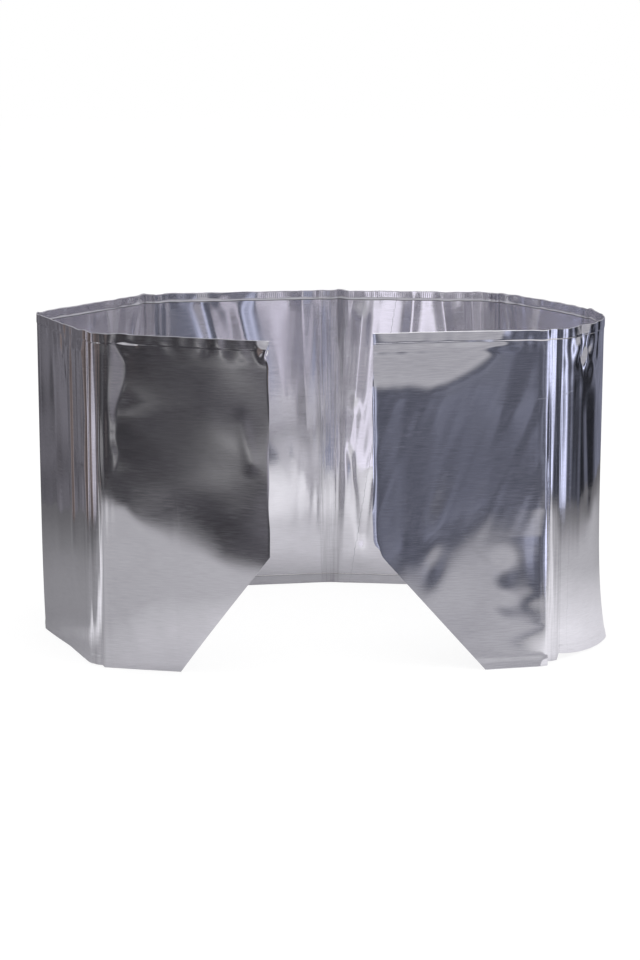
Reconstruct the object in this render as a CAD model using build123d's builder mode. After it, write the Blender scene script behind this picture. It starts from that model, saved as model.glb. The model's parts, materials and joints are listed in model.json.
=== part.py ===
from build123d import *
from math import cos, degrees, radians, sin
import os

os.makedirs("parts", exist_ok=True)

# A stove windscreen: one sheet of heavy aluminium foil that stands on edge round a camp stove.
# Seven double creases divide it into eight panels, and its long edges are turned over in a hem.
# +X is to the right, -Y is the open front and Z = 0 is the ground.
# The origin is under the middle of the back centre spine, on the sheet's middle plane.

# The sheet, in millimetres
screen_height = 160.0
foil = 0.2
hem_depth = 5.0
hem_gap = 0.1

# A double crease: two crease lines with a flat spine between them
spine_width = 6.4
crease_slit = 0.05
hem_corner_gap = 0.15

# Panel widths, along the sheet from crease to crease
back_left_width = 90.5
left_side_back_width = 93.0
left_side_front_width = 80.0
front_left_width = 86.0
back_right_width = 81.0
right_side_back_width = 78.0
right_side_front_width = 88.0
front_right_width = 85.5

# How far the bowed panels curve from crease to crease, in degrees
left_side_front_bow_angle = 5.0
right_side_back_bow_angle = 15.0
right_side_front_bow_angle = 62.0

# How far each double crease turns the sheet as it stands, in degrees
back_centre_fold_angle = 18.0
back_left_fold_angle = 49.5
left_side_fold_angle = 51.0
front_left_fold_angle = 43.0
back_right_fold_angle = 46.0
right_side_fold_angle = 4.0
front_right_fold_angle = 34.0

# The lower corner that is cut off each front flap, beside the opening
corner_cut_rise = 60.0
left_corner_cut_run = 48.0
right_corner_cut_run = 53.0
cutter_margin = 2.0

# Sizes that follow from the ones above
outer_face = -foil / 2
inner_face = foil / 2
hem_outer_face = inner_face + hem_gap
hem_inner_face = hem_outer_face + foil
web_setback = foil / 2 + crease_slit
hem_setback = hem_inner_face + hem_corner_gap

LEFT = -1
RIGHT = 1


class Stretch:
    """A stretch of the sheet seen from above. It starts at a crease and runs away from the back centre.

    Its plane has X along the sheet. An inset is measured from the sheet's middle towards the stove.
    """

    def __init__(self, side, corner, heading, width, bow=0.0):
        self.side = side
        self.width = width
        self.bow = radians(bow)
        self.corner = corner
        self.heading = heading
        along = (side * cos(radians(heading)), sin(radians(heading)), 0)
        self.plane = Plane(origin=(*corner, 0), x_dir=along, z_dir=(0, 0, 1))

    def point(self, distance, inset=0.0):
        """The point that lies this far along the sheet, at this inset, in the stretch's own plane."""
        if self.bow == 0:
            return (distance, -self.side * inset)
        radius = self.width / self.bow
        turned = distance / radius
        reach = radius - inset
        return (reach * sin(turned), -self.side * (radius - reach * cos(turned)))

    def far_corner(self):
        place = self.plane.from_local_coords(Vector(*self.point(self.width)))
        return (place.X, place.Y)

    def far_heading(self):
        return self.heading - degrees(self.bow)


def lay_out(side, stretches):
    """Chain stretches from the back centre spine to a free edge: name, width, bow and the fold before each.

    Each crease line of a double crease takes half of its fold angle.
    """
    chain = {}
    corner = (side * spine_width / 2, 0.0)
    heading = 0.0
    for name, width, bow, fold in stretches:
        chain[name] = Stretch(side, corner, heading - fold / 2, width, bow)
        corner = chain[name].far_corner()
        heading = chain[name].far_heading()
    return chain


left_chain = lay_out(
    LEFT,
    [
        ("back_left_panel", back_left_width, 0, back_centre_fold_angle),
        ("back_left_spine", spine_width, 0, back_left_fold_angle),
        ("left_side_back_panel", left_side_back_width, 0, back_left_fold_angle),
        ("left_side_spine", spine_width, 0, left_side_fold_angle),
        ("left_side_front_panel", left_side_front_width, left_side_front_bow_angle, left_side_fold_angle),
        ("front_left_spine", spine_width, 0, front_left_fold_angle),
        ("front_left_flap", front_left_width, 0, front_left_fold_angle),
    ],
)
right_chain = lay_out(
    RIGHT,
    [
        ("back_right_panel", back_right_width, 0, back_centre_fold_angle),
        ("back_right_spine", spine_width, 0, back_right_fold_angle),
        ("right_side_back_panel", right_side_back_width, right_side_back_bow_angle, back_right_fold_angle),
        ("right_side_spine", spine_width, 0, right_side_fold_angle),
        ("right_side_front_panel", right_side_front_width, right_side_front_bow_angle, right_side_fold_angle),
        ("front_right_spine", spine_width, 0, front_right_fold_angle),
        ("front_right_flap", front_right_width, 0, front_right_fold_angle),
    ],
)
back_centre = {"back_centre_spine": Stretch(RIGHT, (-spine_width / 2, 0.0), 0.0, spine_width)}
sheet = {**back_centre, **left_chain, **right_chain}
corner_cuts = {"front_left_flap": left_corner_cut_run, "front_right_flap": right_corner_cut_run}


def upright_strip(stretch, start, end, outset, inset, low, high):
    """A strip of foil on edge: between two distances along the sheet, two insets and two heights."""
    middle = (start + end) / 2
    with BuildPart() as strip:
        with BuildSketch(stretch.plane.offset(low)):
            with BuildLine():
                if stretch.bow == 0:
                    Line(stretch.point(start, outset), stretch.point(end, outset))
                    Line(stretch.point(end, inset), stretch.point(start, inset))
                else:
                    ThreePointArc([stretch.point(at, outset) for at in (start, middle, end)])
                    ThreePointArc([stretch.point(at, inset) for at in (end, middle, start)])
                Line(stretch.point(end, outset), stretch.point(end, inset))
                Line(stretch.point(start, inset), stretch.point(start, outset))
            make_face()
        extrude(amount=high - low)
    return strip.part


def corner_cutter(stretch, run):
    """The wedge that takes the lower corner off a flap, from the free edge down to its bottom edge."""
    elevation = Plane(origin=stretch.plane.origin, x_dir=stretch.plane.x_dir, z_dir=stretch.plane.y_dir)
    up = -1 if elevation.y_dir.Z < 0 else 1
    slope = corner_cut_rise / run
    start = (stretch.width - run - cutter_margin, -up * slope * cutter_margin)
    end = (stretch.width + cutter_margin, up * (corner_cut_rise + slope * cutter_margin))
    with BuildPart() as wedge:
        with BuildSketch(elevation):
            with BuildLine():
                Polyline(start, end, (end[0], start[1]), close=True)
            make_face()
        extrude(amount=cutter_margin, both=True)
    return wedge.part


# The standing sheet of every panel, flap and spine, between its creases and its hems
web_low = foil
web_high = screen_height - foil
for name, stretch in sheet.items():
    far_end = stretch.width if name in corner_cuts else stretch.width - web_setback
    with BuildPart() as web:
        if name.endswith("_spine"):
            with BuildSketch(stretch.plane.offset(web_low)):
                with Locations((spine_width / 2, 0)):
                    SlotCenterToCenter(spine_width, foil)
            extrude(amount=web_high - web_low)
        else:
            add(upright_strip(stretch, web_setback, far_end, outer_face, inner_face, web_low, web_high))
        if name in corner_cuts:
            add(corner_cutter(stretch, corner_cuts[name]), mode=Mode.SUBTRACT)
    web.part.label = name
    export_step(web.part, f"parts/{name}.step")

# The hems: at each long edge the foil turns inwards over the web's edge and lies back along its inner face.
# Each hem is given as the heights between which it turns over and between which it lies back.
hems = {
    "bottom": ((0, foil), (foil, hem_depth)),
    "top": ((screen_height - foil, screen_height), (screen_height - hem_depth, screen_height - foil)),
}
for name, stretch in sheet.items():
    far_end = stretch.width if name in corner_cuts else stretch.width - hem_setback
    for edge, (turn_over, lie_back) in hems.items():
        with BuildPart() as hem:
            add(upright_strip(stretch, hem_setback, far_end, outer_face, hem_inner_face, *turn_over))
            add(upright_strip(stretch, hem_setback, far_end, hem_outer_face, hem_inner_face, *lie_back))
            if edge == "bottom" and name in corner_cuts:
                add(corner_cutter(stretch, corner_cuts[name]), mode=Mode.SUBTRACT)
        hem.part.label = f"{name}_{edge}_hem"
        export_step(hem.part, f"parts/{name}_{edge}_hem.step")

sheet_length = sum(stretch.width for stretch in sheet.values())
print(f"unrolled length {sheet_length:.1f} mm, {(1 + len(hems)) * len(sheet)} pieces")
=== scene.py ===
import json
from math import cos, pi, radians, sin, tan
from random import Random

import bpy
import numpy as np
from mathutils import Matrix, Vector

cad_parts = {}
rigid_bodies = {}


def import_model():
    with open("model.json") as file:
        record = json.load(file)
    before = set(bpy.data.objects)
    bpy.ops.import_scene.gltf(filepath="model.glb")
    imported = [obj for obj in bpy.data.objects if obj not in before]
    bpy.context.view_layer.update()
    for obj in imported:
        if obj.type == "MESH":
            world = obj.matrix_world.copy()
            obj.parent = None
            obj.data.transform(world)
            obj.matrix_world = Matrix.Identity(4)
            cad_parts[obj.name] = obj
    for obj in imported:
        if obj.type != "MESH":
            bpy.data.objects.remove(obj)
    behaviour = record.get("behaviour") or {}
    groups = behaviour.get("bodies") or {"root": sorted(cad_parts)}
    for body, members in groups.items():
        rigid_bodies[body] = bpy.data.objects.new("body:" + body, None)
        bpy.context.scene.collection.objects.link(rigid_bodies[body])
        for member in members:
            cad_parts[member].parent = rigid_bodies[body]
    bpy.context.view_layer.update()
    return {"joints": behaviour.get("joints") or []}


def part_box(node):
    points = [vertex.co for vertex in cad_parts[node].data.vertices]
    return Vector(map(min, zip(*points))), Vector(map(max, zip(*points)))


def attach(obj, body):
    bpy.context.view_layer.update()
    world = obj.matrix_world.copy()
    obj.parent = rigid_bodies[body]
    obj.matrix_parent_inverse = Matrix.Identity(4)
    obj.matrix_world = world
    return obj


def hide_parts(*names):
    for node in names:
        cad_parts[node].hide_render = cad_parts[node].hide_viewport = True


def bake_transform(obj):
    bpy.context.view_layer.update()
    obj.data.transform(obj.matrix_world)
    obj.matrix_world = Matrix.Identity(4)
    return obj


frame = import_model()

# Lengths in this script are in millimetres until a mesh is made
MM = 0.001

# The sheet, read from the frame
SCREEN_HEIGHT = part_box("back_left_panel_top_hem")[1].z / MM
HEM_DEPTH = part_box("back_left_panel_bottom_hem")[1].z / MM
FOIL = 0.2
HEM_GAP = 0.1
CREASE_HALF = 0.8

# The stretches of the sheet in order, from the left free edge round the back to the right free edge
ORDER = [
    "front_left_flap",
    "front_left_spine",
    "left_side_front_panel",
    "left_side_spine",
    "left_side_back_panel",
    "back_left_spine",
    "back_left_panel",
    "back_centre_spine",
    "back_right_panel",
    "back_right_spine",
    "right_side_back_panel",
    "right_side_spine",
    "right_side_front_panel",
    "front_right_spine",
    "front_right_flap",
]
BOW_ANGLES = {"left_side_front_panel": 5.0, "right_side_back_panel": 15.0, "right_side_front_panel": 62.0}

# The corners that are cut off the flaps beside the opening
CORNER_CUT_RISE = 60.0
CORNER_CUT_RUNS = {"front_left_flap": 48.0, "front_right_flap": 53.0}

# Mesh steps
STEP_ALONG = 0.65
STEP_UP = 0.9


class Stretch:
    """One stretch of the sheet seen from above, from corner to corner, turning towards the stove if bowed."""

    def __init__(self, name, first, last, offset):
        self.name = name
        self.first = np.array(first, float)
        chord = np.array(last, float) - self.first
        length = float(np.hypot(*chord))
        direction = chord / length
        outward = np.array((-direction[1], direction[0]))
        self.bow = radians(BOW_ANGLES.get(name, 0.0))
        half = self.bow / 2
        self.width = length * half / sin(half) if self.bow else length
        self.direction = direction * cos(half) + outward * sin(half)
        self.outward = outward * cos(half) - direction * sin(half)
        self.offset = offset

    def plan(self, distance):
        """Places and outward normals at these distances from the stretch's first corner."""
        distance = np.asarray(distance, float)[:, None]
        if not self.bow:
            place = self.first + distance * self.direction
            return place, np.repeat(self.outward[None, :], len(distance), 0)
        radius = self.width / self.bow
        turned = distance / radius
        place = self.first + radius * (np.sin(turned) * self.direction - (1 - np.cos(turned)) * self.outward)
        return place, np.cos(turned) * self.outward + np.sin(turned) * self.direction


def free_corner(node, side):
    """Plan corner of a flap's free edge, nearest to the opening."""
    low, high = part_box(node)
    return (high.x / MM, low.y / MM) if side == "left" else (low.x / MM, low.y / MM)


def lay_out():
    """The stretches by name, with corners taken from the hinges of the frame."""
    hinge = {frozenset((j["parent"], j["child"])): j["pos_m"][:2] for j in frame["joints"]}
    corners = [free_corner("front_left_flap", "left")]
    for a, b in zip(ORDER, ORDER[1:]):
        corners.append([v / MM for v in hinge[frozenset((a, b))]])
    corners.append(free_corner("front_right_flap", "right"))
    made, offset = {}, 0.0
    for name, first, last in zip(ORDER, corners, corners[1:]):
        made[name] = Stretch(name, first, last, offset)
        offset += made[name].width
    return made


SHEET = lay_out()


def smooth(low, high, value):
    """0 below low, 1 above high, and a smooth step in between."""
    share = np.clip((value - low) / (high - low), 0, 1)
    return share * share * (3 - 2 * share)


# Forms that the foil takes. Each gives how far the foil stands out, at a distance along and a height.


def swell(along, up, at, size, height, turn=0.0):
    """A smooth swelling, or a dent where the height is negative."""
    c, s = cos(radians(turn)), sin(radians(turn))
    across = ((along - at[0]) * c + (up - at[1]) * s) / size[0]
    over = (-(along - at[0]) * s + (up - at[1]) * c) / size[1]
    return height * np.exp(-(across**2 + over**2))


def fold(along, up, first, last, width, height, fade=0.15):
    """A rounded ridge from one point to another, or a groove where the height is negative."""
    run = np.array(last, float) - np.array(first, float)
    length = float(np.hypot(*run))
    run /= length
    share = ((along - first[0]) * run[0] + (up - first[1]) * run[1]) / length
    aside = -(along - first[0]) * run[1] + (up - first[1]) * run[0]
    ends = smooth(-fade, fade, share) * (1 - smooth(1 - fade, 1 + fade, share))
    return height * ends * np.exp(-((aside / width) ** 2))


def tilt(along, up, at, towards, angle, soft):
    """Past a line through a point, the foil tilts outwards by an angle. Towards is the line's normal in degrees."""
    past = (along - at[0]) * cos(radians(towards)) + (up - at[1]) * sin(radians(towards))
    return tan(radians(angle)) * soft * np.logaddexp(0, past / soft)


def drift(along, up, seed, size, height, stretch=1.0):
    """Gentle unevenness without a pattern, as wide as size and stretched upwards."""
    draw = Random(seed)
    total = np.zeros(np.broadcast(along, up).shape)
    waves = 14
    for _ in range(waves):
        heading = draw.uniform(0, pi)
        pitch = size * draw.uniform(0.7, 1.8)
        phase = draw.uniform(0, 2 * pi)
        total = total + np.cos(2 * pi * (along * cos(heading) + up * sin(heading) / stretch) / pitch + phase)
    return height * total / waves**0.5


def streaks(along, up, seed, pitch, height, lean=0.0):
    """Upright streaks side by side, as repeated folding leaves them."""
    draw = Random(seed)
    total = np.zeros(np.broadcast(along, up).shape)
    for share in (0.6, 1.0, 1.7):
        phase = draw.uniform(0, 2 * pi)
        sway = draw.uniform(0.3, 1.0)
        bend = sway * np.sin(up / draw.uniform(25, 60) + draw.uniform(0, 6))
        total = total + share * np.cos(2 * pi * (along + lean * up) / (pitch * share) + phase + bend)
    return height * total / 2


def beside(along, up, path, angle, soft=0.7, settle=7.0):
    """A facet beside the crease, tilted by an angle. Its path gives pairs of a height and its width there."""
    heights, widths = zip(*sorted(path))
    width = np.interp(up, heights, widths)
    slope = tan(radians(angle))
    raised = slope * soft * (np.logaddexp(0, width / soft) - np.logaddexp(0, (width - along) / soft))
    return raised * np.exp(-np.maximum(along - width, 0) / settle)


def facet(along, up, path, angle, soft=0.6, settle=30.0):
    """A long facet tilted by an angle. Its path gives a height, and where the facet starts and ends there."""
    heights, starts, ends = zip(*sorted(path))
    start = sum(np.interp(up + shift, heights, starts) for shift in (-3, 0, 3)) / 3
    end = sum(np.interp(up + shift, heights, ends) for shift in (-3, 0, 3)) / 3
    raised = np.logaddexp(0, (along - start) / soft) - np.logaddexp(0, (along - end) / soft)
    return tan(radians(angle)) * soft * raised * np.exp(-np.maximum(along - end, 0) / settle)


def pocket(along, up, tip, first, last, angle, soft=0.4):
    """A pointed pocket pressed into the foil, between two lines that run from its tip, first on the left."""
    sides = []
    for end, sign in ((first, -1), (last, 1)):
        run = np.array(end, float) - np.array(tip, float)
        run /= np.hypot(*run)
        sides.append(sign * (-(along - tip[0]) * run[1] + (up - tip[1]) * run[0]))
    depth = -soft * np.logaddexp(-sides[0] / soft, -sides[1] / soft)
    return -tan(radians(angle)) * soft * np.logaddexp(0, depth / soft)


def front_left_flap(along, up):
    """Standing out of the front left flap. Along runs from its crease to the free edge."""
    beside_crease = [(160, 8, 9), (154, 6, 9), (150, 6, 13), (142, 6, 14), (133, 5, 12), (125, 5, 9), (118, 6, 8.6)]
    beside_crease += [(110, 5.5, 8), (103, 7.5, 10), (92, 7, 7), (0, 7, 7)]
    return (
        drift(along, up, 3, 44, 0.10, 1.0)
        + 0.75 * (1 - ((along - 43) / 43) ** 2)
        + facet(along, up, beside_crease, -8)
        + swell(along, up, (62, 108), (18, 16), 0.14)
        + fold(along, up, (72, 126), (78, 100), 3.5, 0.10)
        + fold(along, up, (12, 154.5), (20, 154.5), 1.0, -0.10)
        + swell(along, up, (14, 76), (9, 10), 0.16)
        + swell(along, up, (52, 46), (16, 9), -0.16, -20)
        + swell(along, up, (85, 156), (4, 4), 1.0)
        + fold(along, up, (20, 2), (14, 30), 3.5, 0.35)
        + fold(along, up, (30, 4), (26, 30), 4.0, -0.20)
    )


def front_right_flap(along, up):
    """Standing out of the front right flap. Along runs from its crease to the free edge."""
    band = [(160, 2.4), (132, 2.8), (110, 2.4), (90, 2.0), (75, 2.4), (62, 4), (40, 4), (20, 2.6), (6, 3.4), (0, 6)]
    bent_back = up - 137 + 0.04 * along
    bent_share = smooth(-15, 15, along + 0.79 * up - 155.6)
    return (
        drift(along, up, 11, 48, 0.20, 1.6)
        + beside(along, up, band, 11, 0.7, 12.0)
        - tan(radians(6.5)) * 3.0 * np.logaddexp(0, bent_back / 3.0) * bent_share
        + tan(radians(2.5)) * 0.8 * np.logaddexp(0, (up - 154.5) / 0.8)
        + fold(along, up, (16, 152.8), (86, 151.8), 1.7, 0.13)
        + fold(along, up, (8, 152), (20, 116), 5.0, 0.16, 0.3)
        + fold(along, up, (20, 118), (46, 66), 6.0, 0.16, 0.4)
        + fold(along, up, (17, 142), (32, 84), 6.0, -0.17, 0.3)
        + fold(along, up, (52, 128), (62, 50), 7.0, 0.22, 0.3)
        + fold(along, up, (70, 132), (72, 46), 6.0, -0.20, 0.3)
        + streaks(along, up, 74, 12.0, 0.028, 0.45) * smooth(150, 120, up) * smooth(56, 76, up)
        + tilt(along, up, (53, 63), -121, 5, 4.0)
        + swell(along, up, (22, 46), (6, 8), 0.34, 15)
        + swell(along, up, (8, 50), (4.5, 9), 0.12)
        + swell(along, up, (10, 33), (5, 5), 0.12)
        + swell(along, up, (23, 30), (9, 6), 0.22, 20)
        + swell(along, up, (33, 24), (5, 7), 0.16, -20)
        + swell(along, up, (56, 50), (4.5, 10), 0.28, 20)
        + fold(along, up, (2, 17), (46, 16), 7.0, 0.17)
        + tilt(along, up, (84.3, 60), 0, -12, 0.6)
    )


def left_side_front_panel(along, up):
    """Standing out of the left side's front panel. Along runs from the front left crease."""
    band = [(160, 5), (150, 7), (120, 4), (96, 6), (62, 4), (30, 5), (0, 5)]
    flutes = streaks(along, up, 71, 9.0, 0.10) * smooth(0, 4, along) * smooth(28, 12, along)
    return (
        drift(along, up, 5, 60, 0.24, 6.0)
        + beside(along, up, band, 10)
        + flutes
        + fold(along, up, (25, 152), (24, 40), 2.4, 0.50)
        + drift(along, up, 13, 6.0, 0.16, 3.0) * swell(along, up, (34, 150), (7, 14), 1.0)
        + fold(along, up, (50, 150), (46, 20), 6.0, 0.30)
    )


def right_side_front_panel(along, up):
    """Standing out of the right side's front panel. Along runs from the front right crease."""
    band = [(160, 2), (120, 3), (70, 2), (0, 2)]
    flutes = streaks(along, up, 72, 7.0, 0.08) * smooth(0, 4, along) * smooth(26, 10, along)
    return (
        drift(along, up, 8, 46, 0.24, 4.0)
        + beside(along, up, band, 9)
        + flutes
        + pocket(along, up, (17, 134), (9, 161), (27, 161), 13)
        + fold(along, up, (13, 160), (16, 141), 1.3, 0.50)
        + fold(along, up, (23, 160), (19, 140), 1.3, 0.55)
        + pocket(along, up, (33, 138), (31, 161), (39, 161), 9)
        + drift(along, up, 14, 9.0, 0.55, 1.6) * swell(along, up, (20, 148), (12, 13), 1.0)
        + fold(along, up, (23, 122), (27, 70), 4.0, -0.35)
        + fold(along, up, (34, 130), (38, 66), 5.0, 0.40)
    )


def back_left_panel(along, up):
    """Standing out of the back left panel. Along runs from the back centre crease."""
    return (
        drift(along, up, 21, 70, 0.06, 1.8)
        + beside(along, up, [(160, 12), (95, 10), (60, 4), (0, 1)], 4, 1.6)
        + fold(along, up, (30, 150), (12, 60), 7.0, -0.20, 0.3)
        + fold(along, up, (22, 90), (8, 12), 5.0, 0.10, 0.3)
        + fold(along, up, (48, 158), (40, 120), 5.0, 0.5)
        + fold(along, up, (66, 158), (58, 128), 5.0, -0.45)
        + swell(along, up, (36, 116), (10, 16), 0.18, 10)
        + streaks(along, up, 61, 7.0, 0.030, 0.10) * smooth(22, 8, along)
    )


def back_right_panel(along, up):
    """Standing out of the back right panel. Along runs from the back centre crease."""
    return (
        drift(along, up, 25, 46, 0.26, 2.4)
        - beside(along, up, [(160, 6), (60, 5), (0, 4)], 6, 1.4)
        + fold(along, up, (14, 150), (10, 100), 4.2, -0.7)
        + fold(along, up, (7, 74), (12, 26), 2.0, 0.35)
        + fold(along, up, (19, 60), (15, 24), 2.0, 0.30)
        + swell(along, up, (13, 14), (6, 7), -0.4)
        + fold(along, up, (26, 118), (18, 70), 3.5, 0.35)
        + fold(along, up, (42, 162), (38, 118), 3.2, 0.50)
        + fold(along, up, (56, 162), (62, 118), 3.6, -0.60)
        + fold(along, up, (72, 162), (74, 122), 2.6, 0.60)
        + streaks(along, up, 62, 6.0, 0.045, -0.08) * smooth(30, 10, along)
    )


def side_back_panel(along, up):
    """Standing out of either side's back panel. Along runs from the back crease."""
    return (
        drift(along, up, 31, 52, 0.30, 2.0)
        - beside(along, up, [(160, 5), (0, 3)], 7, 1.2)
        + fold(along, up, (14, 158), (16, 120), 2.6, 0.7)
        + fold(along, up, (7, 158), (14, 134), 1.8, -0.5)
        + pocket(along, up, (30, 132), (22, 159), (38, 159), 9)
    )


# The forms of each stretch, with the crease from which they are measured: 0 is its first corner, 1 its last
FORMS = {
    "front_left_flap": (front_left_flap, 1),
    "left_side_front_panel": (left_side_front_panel, 0),
    "left_side_back_panel": (side_back_panel, 1),
    "back_left_panel": (back_left_panel, 1),
    "back_right_panel": (back_right_panel, 0),
    "right_side_back_panel": (side_back_panel, 0),
    "right_side_front_panel": (right_side_front_panel, 1),
    "front_right_flap": (front_right_flap, 0),
}
CREASE_FADE = 1.6
SPINE_CROWN = {"front_left_spine": 0.42, "front_right_spine": 0.46}
SPINE_CROWN_ELSEWHERE = 0.2


def standing_out(distance, up):
    """How far the foil stands out of its plan, at distances along the whole sheet and at heights."""
    total = np.zeros(np.broadcast(distance, up).shape)
    for name, stretch in SHEET.items():
        local = distance - stretch.offset
        inside = (local > 0) & (local < stretch.width)
        if not inside.any():
            continue
        if name not in FORMS:
            across = np.clip(local / stretch.width, 0, 1)
            across = across + 0.12 * np.sin(2 * pi * across) * np.sin(up / 24 + len(name))
            crown = SPINE_CROWN.get(name, SPINE_CROWN_ELSEWHERE)
            total = total + np.where(inside, crown * 4 * across * (1 - across), 0)
            continue
        form, measured_from = FORMS[name]
        fades = np.ones(inside.shape)
        if name != "front_left_flap":
            fades = fades * smooth(0, CREASE_FADE, local)
        if name != "front_right_flap":
            fades = fades * smooth(0, CREASE_FADE, stretch.width - local)
        along = np.clip(stretch.width - local if measured_from else local, 0, stretch.width)
        total = total + np.where(inside, fades * form(along, up), 0)
    for number, name in enumerate(ORDER[1:]):
        crease = distance - SHEET[name].offset
        near = np.exp(-((crease / 6.0) ** 2))
        total = total + near * streaks(crease, up, 40 + number, 5.4, 0.045)
    # The pressed rim is dented a little all the way round, and more at the creases
    at_rim = smooth(SCREEN_HEIGHT - 12, SCREEN_HEIGHT - 2, up)
    total = total + at_rim * drift(distance, up, 90, 9.0, 0.10, 3.0)
    # The web is pressed over the edge of the hem that lies behind it
    total = total + 0.22 * smooth(HEM_DEPTH + 0.1, HEM_DEPTH - 1.5, up)
    flap_end = SHEET["front_left_spine"].offset
    pressed = np.interp(distance, [flap_end - 3, flap_end + 5], [0.04, 0.22])
    total = total + pressed * smooth(SCREEN_HEIGHT - HEM_DEPTH - 0.1, SCREEN_HEIGHT - HEM_DEPTH + 0.7, up)
    return total


# How far the upper and the lower edge stand out of the plan, by stretch and share of the way along it
LEAN = [
    ("front_left_flap", 0.0, 0.0, -7.0),
    ("front_left_flap", 0.56, 0.0, -7.0),
    ("front_left_flap", 0.75, 0.0, -4.0),
    ("front_left_spine", 0.0, 0.0, -0.8),
    ("front_left_spine", 1.0, 0.0, -0.8),
    ("left_side_front_panel", 0.5, 0.3, -2.4),
    ("left_side_spine", 0.0, 0.4, -1.2),
    ("left_side_spine", 1.0, 0.4, -1.2),
    ("back_left_spine", 0.0, 0.0, 0.0),
    ("right_side_back_panel", 0.0, 0.0, 0.0),
    ("right_side_spine", 0.0, 0.3, 1.5),
    ("right_side_spine", 1.0, 0.3, 1.5),
    ("right_side_front_panel", 0.4, 1.5, 5.5),
    ("front_right_spine", 0.0, 0.0, 0.0),
    ("front_right_spine", 1.0, 0.0, 0.0),
    ("front_right_flap", 0.38, 0.0, 4.0),
    ("front_right_flap", 1.0, 0.0, 4.0),
]


LEAN_FALL = 6


def lean_at(distances, up):
    """How far each point leans out of the plan. The lower edge's lean dies away upwards."""
    knots, upper, lower = [], [], []
    free_end = SHEET[ORDER[-1]].offset + SHEET[ORDER[-1]].width
    for name, share, top, bottom in LEAN:
        stretch = SHEET[name]
        corner = stretch.offset + share * stretch.width
        way = stretch.outward if is_spine(name) else plan_at([corner])[1][0]
        at_crease = share in (0.0, 1.0) and 0 < corner < free_end
        for side in (-CREASE_HALF, CREASE_HALF) if at_crease else (0.0,):
            knots.append(corner + side)
            upper.append(top * way)
            lower.append(bottom * way)
    upper, lower = np.array(upper), np.array(lower)
    rise = up / SCREEN_HEIGHT
    leans = []
    for axis in (0, 1):
        high = np.interp(distances, knots, upper[:, axis])[:, None]
        low = np.interp(distances, knots, lower[:, axis])[:, None]
        leans.append(high * rise + low * (1 - rise) ** LEAN_FALL)
    return leans


# Where the lower edge is lifted off the ground: the crease, the side of it, how far, and how far along it fades
FOOT_LIFTS = [("front_right_spine", -1, 3.5, 14.0), ("front_left_spine", 1, 1.0, 10.0)]
NICKS = [("front_right_flap", 58.0, 1.6, 3.0), ("front_left_flap", 152.0, 1.2, 2.5)]


def lift_at(distances, up):
    """How far each point is raised: the foot beside some creases, and the rim's slight unevenness."""
    raised = np.zeros(up.shape)
    for name, side, lift, fade in FOOT_LIFTS:
        away = side * (distances - SHEET[name].offset)[:, None]
        share = smooth(-CREASE_HALF, CREASE_HALF, away) * np.exp(-np.maximum(away, 0) / fade)
        raised = raised + lift * share * (1 - up / SCREEN_HEIGHT) ** 6
    near = np.zeros(len(distances))
    for name in ORDER[1:]:
        near = np.maximum(near, np.exp(-(((distances - SHEET[name].offset) / 7.0) ** 2)))
    rim = drift(distances, 0, 91, 11.0, 1.0) * (0.10 + 0.35 * near)
    return raised + rim[:, None] * smooth(SCREEN_HEIGHT - 14, SCREEN_HEIGHT, up)


def pull_at(distances, up):
    """How far each point near a free edge is drawn along the sheet, where the edge is nicked and uneven."""
    pulled = np.zeros(up.shape)
    for number, name in enumerate((ORDER[0], ORDER[-1])):
        stretch = SHEET[name]
        from_edge = distances - stretch.offset if name == ORDER[0] else stretch.offset + stretch.width - distances
        sign = 1 if name == ORDER[0] else -1
        near = smooth(8, 0, from_edge)[:, None]
        dent = 0.35 * drift(up, 0, 95 + number, 22.0, 1.0)
        for nicked, height, depth, half in NICKS:
            if nicked == name:
                dent = dent + depth * np.exp(-(((up - height) / half) ** 2))
        pulled = pulled + sign * near * dent
    return pulled


def plan_at(distances):
    """Places and outward normals at distances along the whole sheet, with each crease rounded."""
    distances = np.asarray(distances, float)
    place = np.zeros((len(distances), 2))
    normal = np.zeros((len(distances), 2))
    for name, stretch in SHEET.items():
        local = distances - stretch.offset
        inside = (local >= -1e-9) & (local <= stretch.width + 1e-9)
        place[inside], normal[inside] = stretch.plan(local[inside])
    for before, after in zip(ORDER, ORDER[1:]):
        corner = SHEET[after].offset
        inside = np.abs(distances - corner) < CREASE_HALF
        if not inside.any():
            continue
        share = (distances[inside] - corner + CREASE_HALF)[:, None] / (2 * CREASE_HALF)
        (start,), (start_normal,) = SHEET[before].plan([SHEET[before].width - CREASE_HALF])
        (end,), (end_normal,) = SHEET[after].plan([CREASE_HALF])
        middle = SHEET[after].first
        place[inside] = (1 - share) ** 2 * start + 2 * share * (1 - share) * middle + share**2 * end
        turned = (1 - share) * start_normal + share * end_normal
        normal[inside] = turned / np.linalg.norm(turned, axis=1)[:, None]
    return place, normal


def cut_height(distances):
    """Height of the sheet's lower edge, which rises where a flap's corner is cut off."""
    distances = np.asarray(distances, float)
    height = np.zeros(len(distances))
    for name, run in CORNER_CUT_RUNS.items():
        stretch = SHEET[name]
        local = distances - stretch.offset
        to_edge = local if name == "front_left_flap" else stretch.width - local
        inside = (local >= -1e-9) & (local <= stretch.width + 1e-9)
        height = np.where(inside, np.maximum(0, (run - to_edge) * CORNER_CUT_RISE / run), height)
    return height


def steps(low, high, step, extra=()):
    """Even steps from low to high, with extra places where a line of vertices is wanted."""
    count = max(2, int(round((high - low) / step)) + 1)
    inner = [v for v in extra if low + 0.05 < v < high - 0.05]
    return np.unique(np.concatenate([np.linspace(low, high, count), inner]))


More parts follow.
